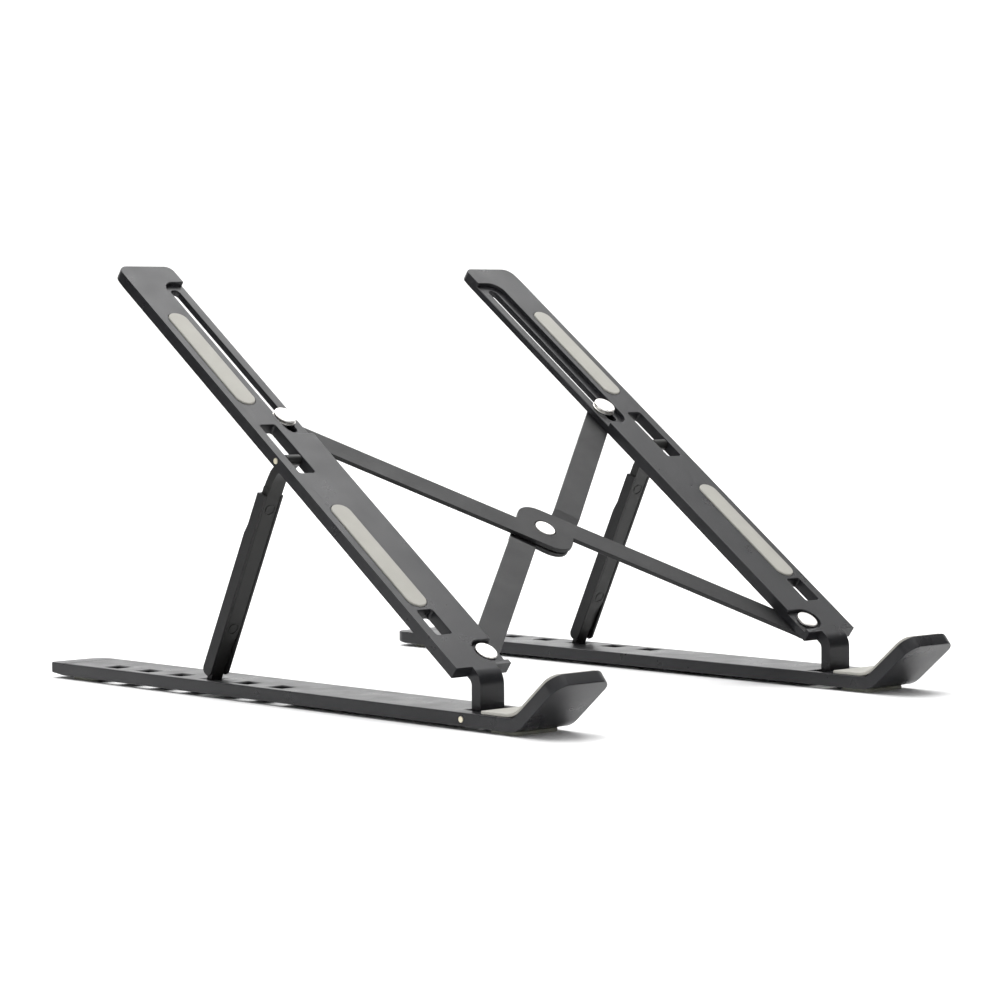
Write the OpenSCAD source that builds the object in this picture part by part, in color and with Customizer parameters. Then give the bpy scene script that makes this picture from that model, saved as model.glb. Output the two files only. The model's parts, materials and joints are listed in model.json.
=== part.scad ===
// Folding laptop stand: two tilted arms joined by a crossed pair of flat bars,
// each arm hinged to a base rail and propped by a strut that seats in a row of holes.
// Frame: X across, +Y to the rear, +Z up; the origin is on the table under the middle of the stand.
// Millimetres throughout.

/* [Arms] */
// width of an arm and of a base rail
arm_w = 22.5; // [21.5:0.1:23.5]
// thickness of an arm
arm_t = 3.9; // [3.8:0.05:4.1]
// distance from the hinge line to the rear end of an arm, along the arm
arm_reach = 221.7; // [220:0.1:230]
// angle of the arms above the base rails
tilt = 36; // [35:0.5:37]
// clear gap between the two arms
arm_gap = 135.3; // [128:0.1:138]

/* [Base rails] */
// thickness of a base rail
base_t = 4.3; // [4.2:0.05:4.5]
// distance from the hinge line to the rear end of a base rail
base_rear = 215.5; // [212:0.5:225]
// length of the upturned front lip
lip_len = 22.4; // [20:0.1:25]
// spacing of the height holes
hole_pitch = 18; // [17.5:0.1:18.5]
// thickness of the rubber feet
foot_t = 1.2; // [1:0.1:1.5]

/* [Crossed bars] */
// width of a bar
bar_w = 9.3; // [8.8:0.1:9.5]
// thickness of a bar
bar_t = 1.5; // [1.3:0.05:1.5]
// distance from the centre rivet to an end rivet
half_bar = 94.41; // [94:0.01:95]

/* [Struts] */
// length of a strut from its pin to its tip
strut_len = 88.6; // [88:0.1:89.2]

/* [Hidden] */

// heights: hinge pin line, base rail top, and arm heights measured square to the arm
base_top = foot_t + base_t;
pin_z = foot_t + base_t / 2;
arm_top = 11.44;
arm_bot = arm_top - arm_t;
// fixed rivet: distance from the outer edge and along the arm
riv_u = arm_w - 5.25;
riv_s = 16.9;
// radii of the rivets' shanks and lower heads, of the pins, and of what they turn in
shank_r = 1.65;
bore_r = 1.7;
washer_bore_r = 1.72;
tail_r = 3.2;
pin_r = 1.0;
pin_bore_r = 1.05;
// bars: sideways offset of each half, and layer heights square to the arm
bar_off = arm_w - riv_u + 0.2;
bar_x = sqrt(half_bar * half_bar - bar_off * bar_off);
bar_hi = arm_bot - 0.15;
bar_step = bar_t + 0.35;
// rest spread of the crossed bars
spread = acos((arm_gap + 2 * (arm_w - riv_u)) / (2 * half_bar));
slide_s = riv_s + 2 * half_bar * sin(spread);
// pocket round the fixed rivet's head
pocket_r = 4.9;
pocket_d = 1.3;
// arm: front edge, and the outer and inner sides of its tongue
arm_front = 10.3;
tab_u0 = 6.4;
tab_u1 = 16.2;
// arm: windows for the strut and ahead of the lower pad, and the soft pads
win_u0 = 3.4;
win_u1 = 9.8;
win_r = 0.9;
strut_win_lo = 106.7;
strut_win_hi = 132.1;
front_win_lo = 25.9;
front_win_hi = 37.4;
pad_u = 6.7;
pad_len = 50.6;
pad_w = 7.3;
pad_sink = 0.5;
pad_gap = 0.3;
lower_pad_s = 39.1;
upper_pad_s = 143.1;
// recess for the sliding rivet
rec_u = riv_u - 4.4;
rec_d = 1.6;
rec_lo = 127.0;
rec_hi = 212.3;
slot_lo = 129.8;
slot_hi = 209.6;
// strut pin and seat
sp_s = 115.6;
sp_h = arm_top - arm_t / 2;
sp_y = sp_s * cos(tilt) - sp_h * sin(tilt);
sp_z = pin_z + sp_s * sin(tilt) + sp_h * cos(tilt);
hole_y1 = 183.5;
seat_y = hole_y1 - 3 * hole_pitch + 1.2;
seat_m = 4.4;
seat_d = sqrt(pow(seat_y - sp_y, 2) + pow(sp_z - pin_z, 2));
strut_a = atan2(sp_z - pin_z, seat_y - sp_y) + asin(seat_m / seat_d);
// strut: sides of its core inside the sleeve, and the sleeve's lower end
core_u0 = 3.4;
core_u1 = 9.0;
sleeve_end = 82.5;
// lip: where its slope would meet the rail, its angle above the rail, and the bend
lip_y = -23.2;
lip_a = 40;
lip_ri = 6;
lip_ro = lip_ri + base_t;
lip_start = lip_ri * tan(lip_a / 2);
lip_cy = lip_y + lip_start;
lip_cz = base_top + lip_ri;
lip_corner = 5;
lip_pad_u0 = 0.7;
lip_pad_u1 = arm_w - 0.7;
lip_pad_t = 1.1;
lip_pad_rear = -8.3;
// the lip pad bridges the bend on a larger radius
lip_pad_r = 12;
lip_pad_cy = lip_y + lip_pad_r * tan(lip_a / 2);
lip_pad_cz = base_top + lip_pad_r;
// rail: height holes, slot for the arm's tongue, and the scored line
hole_u0 = 3.0;
hole_u1 = 9.4;
hole_half = 3.9;
slot_u0 = 5.6;
slot_u1 = 20.6;
score_y = 206.6;
// middle of the stand from front to rear, measured from the hinge line
y_mid = (base_rear + lip_y - lip_len * cos(lip_a) - base_t * sin(lip_a)) / 2;

metal = [0.20, 0.20, 0.21];
dark = [0.15, 0.15, 0.16];
grey = [0.74, 0.72, 0.69];
foot = [0.45, 0.45, 0.41];
silver = [0.85, 0.84, 0.81];
brass = [0.78, 0.66, 0.42];

function arc(x, y, r, a, b, n) = [
  for (i = [0:n]) [x + r * cos(a + (b - a) * i / n), y + r * sin(a + (b - a) * i / n)]
];
function box2(x0, y0, x1, y1) = [[x0, y0], [x1, y0], [x1, y1], [x0, y1]];
function round_box(x0, y0, x1, y1, r) = concat(
  arc(x0 + r, y0 + r, r, 180, 270, 6),
  arc(x1 - r, y0 + r, r, 270, 360, 6),
  arc(x1 - r, y1 - r, r, 0, 90, 6),
  arc(x0 + r, y1 - r, r, 90, 180, 6)
);
// what rounding with radius r takes off the corner (x, y) that points to (sx, sy);
// the arc starts a hair outside the sides, so that it crosses them
skim = 0.01;
function corner(x, y, sx, sy, r) = concat(
  [[x - sx * (r - skim), y + sy], [x + sx, y + sy], [x + sx, y - sy * (r - skim)]],
  [for (i = [0:8]) [
    x + sx * (skim - r * (1 - cos(90 * i / 8))),
    y + sy * (skim - r * (1 - sin(90 * i / 8)))
  ]]
);
function stadium(x, y0, y1, w) = concat(
  arc(x, y1 - w / 2, w / 2, 0, 180, 20),
  arc(x, y0 + w / 2, w / 2, 180, 360, 20)
);

// one side of the stand: u runs from the outer edge inwards
module side(r) {
  mirror([r, 0, 0]) translate([-arm_gap / 2 - arm_w, -y_mid, 0]) children();
}
// frame of an arm: u, distance along the arm, height square to it
module on_arm() {
  translate([0, 0, pin_z]) rotate([tilt, 0, 0]) children();
}
// plate outline at a height
module plate(z0, z1, pts) {
  translate([0, 0, z0]) linear_extrude(z1 - z0) polygon(pts);
}
// side profile (along, up) swept from u0 to u1
module sweep(u0, u1, pts) {
  translate([u0, 0, 0]) rotate([90, 0, 90]) linear_extrude(u1 - u0) polygon(pts);
}
// round bar along u
module rod(u0, u1, r) {
  translate([u0, 0, 0]) rotate([0, 90, 0]) cylinder(h = u1 - u0, r = r, $fn = 48);
}
module disc(z0, z1, r) {
  translate([0, 0, z0]) cylinder(h = z1 - z0, r = r, $fn = 64);
}

// ---------------------------------------------------------------- arms
function arm_outline() = concat(
  [[0, arm_front], [arm_w, arm_front]],
  arc(arm_w - 3, arm_reach - 3, 3, 0, 90, 8),
  arc(4, arm_reach - 4, 4, 90, 180, 8)
);
// tongue bent down from the arm to the hinge pin, drawn upright about the pin
tab_r = arm_t / 2;
tab_ri = 2.4;
tab_ro = tab_ri + arm_t;
tab_cy = tab_r + tab_ri;
tab_cz = (arm_bot - tab_ri + tab_cy * sin(tilt)) / cos(tilt);
function tab_profile() = concat(
  arc(0, 0, tab_r, 180, 360, 12),
  arc(tab_cy, tab_cz, tab_ri, 180, 90 + tilt, 8),
  [[17 * cos(tilt) - arm_bot * sin(tilt), 17 * sin(tilt) + arm_bot * cos(tilt)],
   [17 * cos(tilt) - arm_top * sin(tilt), 17 * sin(tilt) + arm_top * cos(tilt)]],
  arc(tab_cy, tab_cz, tab_ro, 90 + tilt, 180, 10)
);
function recess_outline() = concat(
  [[arm_w + 1, rec_lo], [arm_w + 1, rec_hi]],
  arc(rec_u + 5, rec_hi - 5, 5, 90, 180, 10),
  arc(rec_u + 4.5, rec_lo + 4.5, 4.5, 180, 270, 10)
);
module arm() {
  difference() {
    union() {
      on_arm() plate(arm_bot, arm_top, arm_outline());
      translate([0, 0, pin_z]) sweep(tab_u0, tab_u1, tab_profile());
    }
    on_arm() {
      plate(arm_top - rec_d, arm_top + 1, recess_outline());
      plate(arm_bot - 1, arm_top + 1, stadium(riv_u, slot_lo, slot_hi, 3.5));
      plate(arm_bot - 1, arm_top + 1,
        round_box(win_u0, strut_win_lo, win_u1, strut_win_hi, win_r));
      plate(arm_bot - 1, arm_top + 1,
        round_box(win_u0, front_win_lo, win_u1, front_win_hi, win_r));
      for (s0 = [lower_pad_s, upper_pad_s])
        plate(arm_top - pad_sink, arm_top + 1,
          stadium(pad_u, s0 - pad_gap, s0 + pad_len + pad_gap, pad_w + 2 * pad_gap));
      plate(arm_top - pocket_d, arm_top + 1,
        box2(riv_u, riv_s - pocket_r, arm_w + 1, riv_s + pocket_r));
      translate([riv_u, riv_s, 0]) disc(arm_top - pocket_d, arm_top + 1, pocket_r);
      translate([riv_u, riv_s, 0]) disc(arm_bot - 1, arm_top + 1, bore_r);
      translate([0, sp_s, sp_h]) rod(-1, 12, pin_bore_r);
    }
    translate([0, 0, pin_z]) rod(tab_u0 - 1, tab_u1 + 1, pin_bore_r);
  }
}
module arm_pad(s0) {
  on_arm() plate(arm_top - pad_sink, arm_top + 0.5, stadium(pad_u, s0, s0 + pad_len, pad_w));
}
module fixed_rivet() {
  on_arm() translate([riv_u, riv_s, 0]) {
    disc(arm_top - pocket_d + 0.05, arm_top, 3.65);
    disc(bar_hi - bar_t - 0.5, arm_top - 1, shank_r);
    disc(bar_hi - bar_t - 1, bar_hi - bar_t - 0.1, tail_r);
  }
}
module slider_rivet() {
  on_arm() translate([riv_u, slide_s, 0]) {
    disc(arm_top - rec_d + 0.6, arm_top - rec_d + 1.9, 3.9);
    disc(bar_hi - bar_t - 0.5, arm_top, shank_r);
    disc(bar_hi - bar_t - 1, bar_hi - bar_t - 0.1, tail_r);
  }
}
module slider_washer() {
  on_arm() translate([riv_u, slide_s, 0]) difference() {
    disc(arm_top - rec_d + 0.05, arm_top - rec_d + 0.55, 4.05);
    disc(arm_top - rec_d - 1, arm_top - rec_d + 1, washer_bore_r);
  }
}
module strut_pin() {
  on_arm() translate([0, sp_s, sp_h]) rod(0, 11.8, pin_r);
}
module hinge_pin() {
  translate([0, 0, pin_z]) rod(0, 21.8, pin_r);
}

// ---------------------------------------------------------------- base rails
module base() {
  difference() {
    sweep(0, arm_w, concat(
      [[base_rear, foot_t], [base_rear, base_top]],
      arc(lip_cy, lip_cz, lip_ri, 270, 270 - lip_a, 8),
      [on_lip(lip_len, 0), on_lip(lip_len, -base_t)],
      arc(lip_cy, lip_cz, lip_ro, 270 - lip_a, 270, 10)
    ));
    lip_frame() {
      plate(-base_t - 1, 1, corner(arm_w, lip_len, 1, 1, lip_corner));
      plate(-base_t - 1, 1, corner(0, lip_len, -1, 1, lip_corner));
    }
    plate(foot_t - 1, base_top + 1, corner(arm_w, base_rear, 1, 1, 6));
    plate(foot_t - 1, base_top + 1, corner(0, base_rear, -1, 1, 1.5));
    for (i = [0:5])
      translate([0, hole_y1 - i * hole_pitch, 0])
        plate(foot_t - 1, base_top + 1, box2(hole_u0, -hole_half, hole_u1, hole_half));
    plate(foot_t - 1, base_top + 1, box2(slot_u0, -3.1, slot_u1, 4.4));
    // scored line near the rear end
    plate(base_top - 0.25, base_top + 1, box2(-1, score_y, arm_w + 1, score_y + 0.5));
    translate([0, 0, pin_z]) rod(-1, 22.0, pin_bore_r);
    // underside eased at the rear end
    sweep(-1, arm_w + 1, [
      [base_rear - 8, foot_t - 0.1],
      [base_rear + 1, foot_t - 0.1],
      [base_rear + 1, foot_t + 0.8]
    ]);
  }
}
// point of the lip's profile: distance up its slope, height off its inner face
function on_lip(d, h) = [
  lip_y - d * cos(lip_a) + h * sin(lip_a),
  base_top + d * sin(lip_a) + h * cos(lip_a)
];
module lip_frame() {
  translate([0, lip_y, base_top]) rotate([-lip_a, 0, 0]) mirror([0, 1, 0]) children();
}
module lip_pad() {
  pad_end = lip_len - 1.6;
  intersection() {
    sweep(lip_pad_u0, lip_pad_u1, concat(
      [[lip_pad_rear, base_top], [lip_pad_rear, base_top + lip_pad_t]],
      arc(lip_pad_cy, lip_pad_cz, lip_pad_r - lip_pad_t, 270, 270 - lip_a, 10),
      [on_lip(pad_end, lip_pad_t), on_lip(pad_end, 0)],
      arc(lip_pad_cy, lip_pad_cz, lip_pad_r, 270 - lip_a, 270, 10)
    ));
    lip_frame() plate(-20, 20, round_box(lip_pad_u0 - skim, -30, lip_pad_u1 + skim, pad_end + skim, 3.5));
  }
}
module foot_pad(y0, y1) {
  plate(0, foot_t, round_box(2.5, y0, 20, y1, 2));
}

// ---------------------------------------------------------------- struts
// frame of a strut: u, distance along it from the pin, and depth square to it
module on_strut() {
  translate([0, sp_y, sp_z]) rotate([-strut_a, 0, 0]) children();
}
module strut_core() {
  on_strut() difference() {
    union() {
      rod(3.7, 9.5, 1.9);
      sweep(3.7, 9.5, [[0, 0], [-0.4, 1.8], [3.0, 3.6], [6.5, 5.0], [11, 5.6], [14.6, 5.6],
        [14.6, 2.5], [9.5, 2.4], [6.0, 1.5], [3.6, 0.1], [1.5, -1.1]]);
      sweep(core_u0, core_u1, [[12, 2.5], [66, 2.5], [72, 3.3], [78, 3.3], [78, 5.6], [12, 5.6]]);
      sweep(4.1, 8.7, [[70, 3.3], [strut_len - 0.6, 3.3], [strut_len, 3.9],
        [strut_len, 5.0], [strut_len - 0.6, 5.6], [70, 5.6]]);
    }
    rod(3, 10, pin_bore_r);
    // rings of the two stake marks
    for (t = [19.4, 64]) translate([6.2, t, 0]) difference() {
      disc(1, 2.7, 2.0);
      disc(0, 4, 1.6);
    }
  }
}
module strut_sleeve() {
  on_strut() difference() {
    sweep(2.2, 10.1, concat(
      [[14.2, 2.35], [14.8, 6.3], [26.5, 6.3], [30, 6.9]],
      arc(sleeve_end - 2, 4.9, 2.0, 90, 0, 5),
      [[sleeve_end, 3.4], [sleeve_end - 1.2, 2.35]]
    ));
    sweep(core_u0 - 0.15, core_u1 + 0.15, box2(10, 1.0, sleeve_end + 2, 5.75));
  }
}

// ---------------------------------------------------------------- crossed bars
module at_centre() {
  on_arm() translate([arm_w + arm_gap / 2, (riv_s + slide_s) / 2, 0]) children();
}
function bar_outline() = concat(
  arc(-bar_x, -bar_off, bar_w / 2, 90, 270, 24),
  arc(3.3, bar_w / 2 - bar_off + 0.75 - 3.1 + 0.05, 7, 270, 360, 8),
  [[10.3, bar_off - bar_w / 2]],
  arc(bar_x, bar_off, bar_w / 2, -90, 90, 24),
  arc(-3.3, bar_off - bar_w / 2 - 0.75 + 3.1 - 0.05, 7, 90, 180, 8),
  [[-10.3, bar_w / 2 - bar_off]]
);
module bar_holes() {
  for (p = [[-bar_x, -bar_off], [0, 0], [bar_x, bar_off]])
    translate([p[0], p[1], 0]) disc(0, 12, bore_r);
}
bar_turn = spread + asin(bar_off / half_bar);
module bar_a_shape() {
  at_centre() rotate([0, 0, -bar_turn]) difference() {
    plate(bar_hi - bar_t, bar_hi, bar_outline());
    bar_holes();
    disc(bar_hi - 0.75, bar_hi + 1, 3.85);
  }
}
module bar_b_shape() {
  lo = bar_hi - bar_step;
  at_centre() rotate([0, 0, bar_turn]) mirror([0, 1, 0]) difference() {
    intersection() {
      plate(0, 12, bar_outline());
      translate([0, 15, 0]) rotate([90, 0, 0]) linear_extrude(30) polygon([
        [-110, bar_hi], [-15.4, bar_hi], [-11.9, lo], [11.9, lo], [15.4, bar_hi], [110, bar_hi],
        [110, bar_hi - bar_t], [15.4 + 0.6, bar_hi - bar_t], [11.9 + 0.6, lo - bar_t],
        [-11.9 - 0.6, lo - bar_t], [-15.4 - 0.6, bar_hi - bar_t], [-110, bar_hi - bar_t]
      ]);
    }
    bar_holes();
  }
}
module centre_rivet_shape() {
  lo = bar_hi - bar_step - bar_t;
  at_centre() {
    disc(bar_hi - 0.7, bar_hi + 0.05, 3.5);
    disc(lo - 0.5, bar_hi - 0.3, shank_r);
    disc(lo - 0.95, lo - 0.05, tail_r);
  }
}
module centre_washer_shape() {
  at_centre() difference() {
    disc(bar_hi - bar_t - 0.3, bar_hi - bar_t - 0.05, 5.0);
    disc(0, 12, washer_bore_r);
  }
}

// ---------------------------------------------------------------- sub-parts
module left_arm() color(metal) side(0) arm();
module right_arm() color(metal) side(1) arm();
module left_base() color(metal) side(0) base();
module right_base() color(metal) side(1) base();
module left_lip_pad() color(grey) side(0) lip_pad();
module right_lip_pad() color(grey) side(1) lip_pad();
module left_upper_pad() color(grey) side(0) arm_pad(upper_pad_s);
module right_upper_pad() color(grey) side(1) arm_pad(upper_pad_s);
module left_lower_pad() color(grey) side(0) arm_pad(lower_pad_s);
module right_lower_pad() color(grey) side(1) arm_pad(lower_pad_s);
module left_front_foot() color(foot) side(0) foot_pad(-22.6, -9.6);
module right_front_foot() color(foot) side(1) foot_pad(-22.6, -9.6);
module left_rear_foot() color(foot) side(0) foot_pad(193, 206);
module right_rear_foot() color(foot) side(1) foot_pad(193, 206);
module left_hinge_pin() color(brass) side(0) hinge_pin();
module right_hinge_pin() color(brass) side(1) hinge_pin();
module left_strut_pin() color(brass) side(0) strut_pin();
module right_strut_pin() color(brass) side(1) strut_pin();
module left_strut_core() color(dark) side(0) strut_core();
module right_strut_core() color(dark) side(1) strut_core();
module left_strut_sleeve() color(dark) side(0) strut_sleeve();
module right_strut_sleeve() color(dark) side(1) strut_sleeve();
module left_fixed_rivet() color(silver) side(0) fixed_rivet();
module right_fixed_rivet() color(silver) side(1) fixed_rivet();
module left_slider_rivet() color(silver) side(0) slider_rivet();
module right_slider_rivet() color(silver) side(1) slider_rivet();
module left_slider_washer() color(silver) side(0) slider_washer();
module right_slider_washer() color(silver) side(1) slider_washer();
module bar_a() color(dark) side(0) bar_a_shape();
module bar_b() color(dark) side(0) bar_b_shape();
module centre_rivet() color(silver) side(0) centre_rivet_shape();
module centre_washer() color(silver) side(0) centre_washer_shape();

left_arm();
left_base();
left_lip_pad();
left_upper_pad();
left_lower_pad();
left_front_foot();
left_rear_foot();
left_hinge_pin();
left_strut_pin();
left_strut_core();
left_strut_sleeve();
left_fixed_rivet();
left_slider_rivet();
left_slider_washer();
right_arm();
right_base();
right_lip_pad();
right_upper_pad();
right_lower_pad();
right_front_foot();
right_rear_foot();
right_hinge_pin();
right_strut_pin();
right_strut_core();
right_strut_sleeve();
right_fixed_rivet();
right_slider_rivet();
right_slider_washer();
bar_a();
bar_b();
centre_rivet();
centre_washer();
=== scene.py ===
import json
import math

import bmesh
import bpy
from mathutils import Matrix, Vector


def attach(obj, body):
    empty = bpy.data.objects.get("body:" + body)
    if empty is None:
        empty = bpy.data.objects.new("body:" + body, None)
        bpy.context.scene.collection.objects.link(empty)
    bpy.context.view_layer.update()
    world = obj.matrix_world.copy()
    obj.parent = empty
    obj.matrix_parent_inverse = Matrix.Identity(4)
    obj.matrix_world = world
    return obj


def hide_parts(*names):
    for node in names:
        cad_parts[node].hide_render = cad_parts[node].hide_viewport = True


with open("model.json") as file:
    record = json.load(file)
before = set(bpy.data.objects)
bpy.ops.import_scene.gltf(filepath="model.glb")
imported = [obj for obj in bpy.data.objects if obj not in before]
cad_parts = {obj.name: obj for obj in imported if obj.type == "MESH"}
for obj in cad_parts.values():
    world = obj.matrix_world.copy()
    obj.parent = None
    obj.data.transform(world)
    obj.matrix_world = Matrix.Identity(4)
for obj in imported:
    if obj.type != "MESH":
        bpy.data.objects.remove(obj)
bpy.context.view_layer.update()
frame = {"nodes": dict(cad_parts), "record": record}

MM = 0.001
SIDES = ("left", "right")

# camera: where it stands, in metres, and how it is turned, in degrees
CAMERA_AT = (-0.7368, -0.8118, 0.1212)
CAMERA_AZIMUTH = -42.44
CAMERA_PITCH = -3.05
CAMERA_ROLL = -0.44
CAMERA_LENS = 116.8
CAMERA_SENSOR = 36.0
CAMERA_SEES = (0.05, 20)


def body_of_node(node):
    """The CAD body that holds a node."""
    for body, nodes in frame["record"]["behaviour"]["bodies"].items():
        if node in nodes:
            return body
    raise ValueError(node)


def slot_of_node(node):
    """The record's material slot of a node."""
    for part in frame["record"]["subparts"]:
        if part["node"] == node:
            return part["material_slot"]
    raise ValueError(node)


# ---------------------------------------------------------------- materials
NOISE_MOSTLY = (0.3, 0.7)  # where nearly all of a noise's values lie
EDGE_MARK = "broken_edge"  # the face attribute that is 1 on broken edges


class Nodes:
    """A material's node tree, with short calls for the nodes used here."""

    def __init__(self, name):
        self.material = bpy.data.materials.new(name)
        self.material.use_nodes = True
        self.tree = self.material.node_tree
        self.shader = self.tree.nodes["Principled BSDF"]
        coordinates = self.tree.nodes.new("ShaderNodeTexCoord")
        self.place = coordinates.outputs["Object"]

    def link(self, source, target):
        self.tree.links.new(source, target)

    def noise(self, scale, detail):
        node = self.tree.nodes.new("ShaderNodeTexNoise")
        node.inputs["Scale"].default_value = scale
        node.inputs["Detail"].default_value = detail
        self.link(self.place, node.inputs["Vector"])
        return node.outputs["Fac"]

    def spread(self, value, low, high):
        """A noise's usual values mapped to low..high."""
        node = self.tree.nodes.new("ShaderNodeMapRange")
        node.inputs["From Min"].default_value = NOISE_MOSTLY[0]
        node.inputs["From Max"].default_value = NOISE_MOSTLY[1]
        node.inputs["To Min"].default_value = low
        node.inputs["To Max"].default_value = high
        self.link(value, node.inputs["Value"])
        return node.outputs["Result"]

    def times(self, a, b):
        node = self.tree.nodes.new("ShaderNodeMath")
        node.operation = "MULTIPLY"
        self.link(a, node.inputs[0])
        self.link(b, node.inputs[1])
        return node.outputs[0]

    def mix(self, share, a, b):
        node = self.tree.nodes.new("ShaderNodeMix")
        node.data_type = "RGBA"
        self.link(share, node.inputs["Factor"])
        for value, socket in ((a, node.inputs["A"]), (b, node.inputs["B"])):
            if isinstance(value, tuple):
                socket.default_value = (*value, 1)
            else:
                self.link(value, socket)
        return node.outputs["Result"]

    def bump(self, height, depth, before=None):
        node = self.tree.nodes.new("ShaderNodeBump")
        node.inputs["Distance"].default_value = depth
        self.link(height, node.inputs["Height"])
        if before is not None:
            self.link(before, node.inputs["Normal"])
        return node.outputs["Normal"]

    def edge(self):
        """1 on the broken edges of a piece, 0 elsewhere."""
        node = self.tree.nodes.new("ShaderNodeAttribute")
        node.attribute_name = EDGE_MARK
        return node.outputs["Fac"]


def coated_metal(name, colour, light, worn, rough, grain):
    """Satin coated metal: fine blasted grain, faint handling marks and rubbed edges."""
    m = Nodes(name)
    cloud = m.noise(45, 4)
    fine = m.noise(grain, 2)
    base = m.mix(m.spread(cloud, 0.0, 1.0), colour, light)
    rubbed = m.times(m.edge(), m.spread(m.noise(220, 5), 0.1, 0.75))
    m.link(m.mix(rubbed, base, worn), m.shader.inputs["Base Color"])
    m.link(m.spread(m.noise(90, 6), rough - 0.05, rough + 0.06), m.shader.inputs["Roughness"])
    m.shader.inputs["Metallic"].default_value = 0.1
    m.shader.inputs["IOR"].default_value = 1.38
    m.link(m.bump(fine, 0.00002), m.shader.inputs["Normal"])
    return m.material


def bare_metal(name, colour, dull, rough):
    """Bare metal with a very fine grain and a slightly uneven shine."""
    m = Nodes(name)
    grain = m.noise(1400, 2)
    m.link(m.mix(m.spread(m.noise(160, 5), 0.0, 0.7), colour, dull), m.shader.inputs["Base Color"])
    m.link(m.spread(grain, rough - 0.06, rough + 0.08), m.shader.inputs["Roughness"])
    m.shader.inputs["Metallic"].default_value = 1.0
    m.link(m.bump(grain, 0.000008), m.shader.inputs["Normal"])
    return m.material


def rubber(name, colour, dusty, rough, grain):
    """Matte moulded rubber with a fine skin and faint dust."""
    m = Nodes(name)
    m.link(m.mix(m.spread(m.noise(70, 6), 0.0, 1.0), colour, dusty), m.shader.inputs["Base Color"])
    m.link(m.spread(m.noise(300, 4), rough - 0.07, rough + 0.07), m.shader.inputs["Roughness"])
    skin = m.bump(m.noise(grain, 3), 0.00003)
    m.link(m.bump(m.noise(900, 2), 0.00002, skin), m.shader.inputs["Normal"])
    m.shader.inputs["Specular IOR Level"].default_value = 0.35
    return m.material


MATERIALS = {
    "black_aluminium": coated_metal(
        "black_aluminium", (0.013, 0.013, 0.0145), (0.017, 0.017, 0.019),
        (0.055, 0.055, 0.058), 0.31, 3200),
    "black_steel": coated_metal(
        "black_steel", (0.009, 0.009, 0.0095), (0.013, 0.013, 0.0135),
        (0.045, 0.045, 0.045), 0.46, 2400),
    "dark_steel": coated_metal(
        "dark_steel", (0.010, 0.010, 0.010), (0.017, 0.017, 0.016),
        (0.07, 0.068, 0.062), 0.40, 2000),
    "grey_silicone": rubber(
        "grey_silicone", (0.335, 0.327, 0.298), (0.37, 0.362, 0.33), 0.62, 2600),
    "grey_rubber": rubber(
        "grey_rubber", (0.20, 0.20, 0.165), (0.26, 0.26, 0.22), 0.72, 1800),
    "silver_rivet": bare_metal(
        "silver_rivet", (0.92, 0.90, 0.87), (0.86, 0.845, 0.81), 0.32),
    "brass_pin": bare_metal(
        "brass_pin", (0.95, 0.90, 0.74), (0.84, 0.77, 0.58), 0.45),
}


# ---------------------------------------------------------------- detailed pieces
# width of each piece's broken edges, in millimetres, and how many facets round it
EDGES = {
    "arm": (0.35, 2),
    "base": (0.4, 2),
    "lip_pad": (0.3, 3),
    "upper_pad": (0.42, 4),
    "lower_pad": (0.42, 4),
    "front_foot": (0.25, 2),
    "rear_foot": (0.25, 2),
    "hinge_pin": (0.15, 2),
    "strut_pin": (0.15, 2),
    "strut_core": (0.14, 2),
    "strut_sleeve": (0.14, 2),
    "fixed_rivet": (0.35, 4),
    "slider_rivet": (0.45, 4),
    "slider_washer": (0.1, 1),
    "bar_a": (0.22, 2),
    "bar_b": (0.22, 2),
    "centre_rivet": (0.16, 3),
    "centre_washer": (0.06, 1),
}
SHARP = math.radians(32)  # neighbouring faces turned further apart than this share a sharp edge
FLAT = math.radians(0.6)  # neighbouring faces turned less far apart than this are joined
SAME_POINT = 1e-6  # points closer together than this, in metres, are merged
ROOM = 2.2  # an edge is broken only where both faces are this many edge widths deep
# below this height, in metres, an arm is its tightly bent tongue, whose edges stay crisp
TONGUE_TOP = 0.024


def kind_of(node):
    """The part's name without its side."""
    for side in SIDES:
        if node.startswith(side + "_"):
            return node[len(side) + 1:]
    return node


def roomy(edge, width):
    """True where both faces beside an edge are deep enough to take the broken edge."""
    along = (edge.verts[1].co - edge.verts[0].co).normalized()
    for face in edge.link_faces:
        across = face.normal.cross(along).normalized()
        reach = [abs((v.co - edge.verts[0].co).dot(across)) for v in face.verts]
        if max(reach) < ROOM * width:
            return False
    return True


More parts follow.
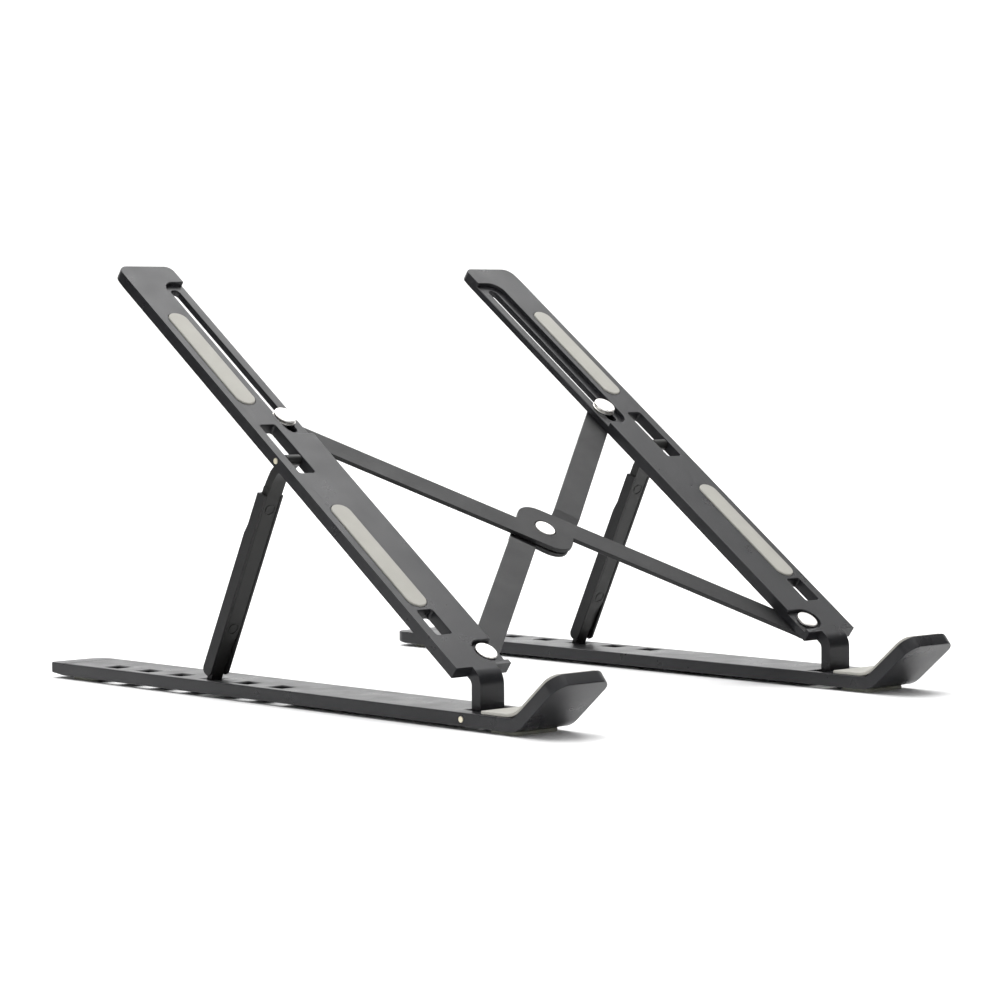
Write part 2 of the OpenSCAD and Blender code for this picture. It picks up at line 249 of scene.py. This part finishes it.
def detailed(node):
    """A piece with the node's shape, its roomy outer edges broken and faintly rounded."""
    kind = kind_of(node)
    width, facets = EDGES[kind]
    width *= MM
    lowest = TONGUE_TOP if kind == "arm" else -1.0
    bm = bmesh.new()
    bm.from_mesh(frame["nodes"][node].data)
    bmesh.ops.remove_doubles(bm, verts=bm.verts, dist=SAME_POINT)
    bmesh.ops.dissolve_limit(
        bm, angle_limit=FLAT, verts=bm.verts, edges=bm.edges, delimit={"NORMAL"})
    bm.normal_update()
    chosen = []
    for edge in bm.edges:
        if len(edge.link_faces) == 2 and edge.is_convex and edge.calc_face_angle(0) > SHARP:
            if roomy(edge, width) and min(v.co.z for v in edge.verts) > lowest:
                chosen.append(edge)
    made = bmesh.ops.bevel(
        bm, geom=chosen, offset=width, offset_type="OFFSET", segments=facets, profile=0.5,
        affect="EDGES", clamp_overlap=False, miter_outer="SHARP", miter_inner="SHARP")
    rounded = set(made["faces"])
    layer = bm.faces.layers.float.new(EDGE_MARK)
    for face in bm.faces:
        face[layer] = 1.0 if face in rounded else 0.0
        face.smooth = True
    mesh = bpy.data.meshes.new(node + "_piece")
    bm.to_mesh(mesh)
    bm.free()
    mesh.set_sharp_from_angle(angle=SHARP)
    piece = bpy.data.objects.new(node + "_piece", mesh)
    bpy.context.scene.collection.objects.link(piece)
    weighted = piece.modifiers.new("weighted_normal", "WEIGHTED_NORMAL")
    weighted.keep_sharp = True
    piece.data.materials.append(MATERIALS[slot_of_node(node)])
    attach(piece, body_of_node(node))
    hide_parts(node)
    return piece


for part in frame["record"]["subparts"]:
    detailed(part["node"])


# ---------------------------------------------------------------- studio
PAPER = ((0.93, 0.93, 0.93), (0.945, 0.945, 0.945))
CARD_BLACK = ((0.02, 0.02, 0.02), (0.03, 0.03, 0.03))
CARD_BOW = 0.06
SKY_STRENGTH = 0.85
STAND_MIDDLE = (0, 0, 0.05)


def matte(name, colours, patch, speck):
    """A matte studio surface, faintly uneven in colour and gloss."""
    m = Nodes(name)
    m.link(m.mix(m.spread(m.noise(*patch), 0, 1), *colours), m.shader.inputs["Base Color"])
    m.link(m.spread(m.noise(*speck), 0.85, 0.95), m.shader.inputs["Roughness"])
    return m


def backdrop():
    """A pale floor that curves up into a wall all round."""
    flat, bend, top, steps, turns = 2.4, 1.2, 3.2, 12, 72
    profile = [(flat, 0.0)]
    for i in range(1, steps + 1):
        a = math.pi / 2 * i / steps
        profile.append((flat + bend * math.sin(a), bend - bend * math.cos(a)))
    profile.append((flat + bend, top))
    bm = bmesh.new()
    rings = []
    for radius, height in profile:
        ring = []
        for k in range(turns):
            a = 2 * math.pi * k / turns
            ring.append(bm.verts.new((radius * math.cos(a), radius * math.sin(a), height)))
        rings.append(ring)
    bm.faces.new(rings[0])
    for low, high in zip(rings, rings[1:]):
        for k in range(turns):
            n = (k + 1) % turns
            bm.faces.new((low[k], low[n], high[n], high[k]))
    for face in bm.faces:
        face.smooth = len(face.verts) == 4
    mesh = bpy.data.meshes.new("studio_floor")
    bm.to_mesh(mesh)
    bm.free()
    floor = bpy.data.objects.new("studio_floor", mesh)
    bpy.context.scene.collection.objects.link(floor)
    m = matte("studio_paper", PAPER, patch=(3, 2), speck=(40, 3))
    m.shader.inputs["Specular IOR Level"].default_value = 0.1
    mesh.materials.append(m.material)


def softbox(name, at, size, power, target=STAND_MIDDLE):
    """A rectangular area light at a place, facing its target."""
    data = bpy.data.lights.new(name, "AREA")
    data.shape = "RECTANGLE"
    data.size, data.size_y = size
    data.energy = power
    lamp = bpy.data.objects.new(name, data)
    lamp.location = at
    aim = Vector(target) - Vector(at)
    lamp.rotation_euler = aim.to_track_quat("-Z", "Y").to_euler()
    bpy.context.scene.collection.objects.link(lamp)


def dark_card(name, at, width, height):
    """A bowed matte black card facing the stand. It shapes the light and isn't seen itself."""
    steps = 8
    facing = Vector((-at[0], -at[1], 0)).normalized()
    across = Vector((-facing.y, facing.x, 0))
    bm = bmesh.new()
    rows = []
    for z in (0.0, height):
        row = []
        for i in range(steps + 1):
            k = 2 * i / steps - 1
            spot = Vector((*at, z)) + across * (k * width / 2) + facing * (CARD_BOW * k * k)
            row.append(bm.verts.new(spot))
        rows.append(row)
    for i in range(steps):
        bm.faces.new((rows[0][i], rows[0][i + 1], rows[1][i + 1], rows[1][i]))
    mesh = bpy.data.meshes.new(name)
    bm.to_mesh(mesh)
    bm.free()
    card = bpy.data.objects.new(name, mesh)
    bpy.context.scene.collection.objects.link(card)
    mesh.materials.append(matte(name, CARD_BLACK, patch=(20, 3), speck=(60, 3)).material)
    card.visible_camera = False


def studio():
    """A pale floor and wall, three soft lights, two black cards and an even pale sky."""
    backdrop()
    softbox("overhead", (0.15, 0.3, 1.7), (2.2, 2.2), 42)
    softbox("rear_fill", (-0.4, 1.9, 1.1), (1.8, 0.8), 6)
    softbox("wall", (0.9, 1.0, 2.3), (1.6, 1.0), 26, target=(2.7, 3.0, 1.3))
    dark_card("card_rear_left", (-0.60, 0.62), 0.9, 0.6)
    dark_card("card_front_right", (0.62, -0.70), 1.4, 0.8)
    world = bpy.data.worlds.new("studio_world")
    world.use_nodes = True
    sky = world.node_tree.nodes["Background"]
    sky.inputs["Color"].default_value = (1, 1, 1, 1)
    sky.inputs["Strength"].default_value = SKY_STRENGTH
    bpy.context.scene.world = world
    bpy.context.scene.view_settings.view_transform = "Standard"


def camera():
    """The camera at the photograph's viewing angle."""
    data = bpy.data.cameras.new("camera")
    data.lens = CAMERA_LENS
    data.sensor_width = CAMERA_SENSOR
    data.clip_start, data.clip_end = CAMERA_SEES
    view = bpy.data.objects.new("camera", data)
    turn = Matrix.Rotation(math.radians(CAMERA_AZIMUTH), 4, "Z")
    turn @= Matrix.Rotation(math.radians(90 + CAMERA_PITCH), 4, "X")
    turn @= Matrix.Rotation(math.radians(CAMERA_ROLL), 4, "Z")
    view.matrix_world = Matrix.Translation(CAMERA_AT) @ turn
    bpy.context.scene.collection.objects.link(view)
    bpy.context.scene.camera = view


studio()
camera()
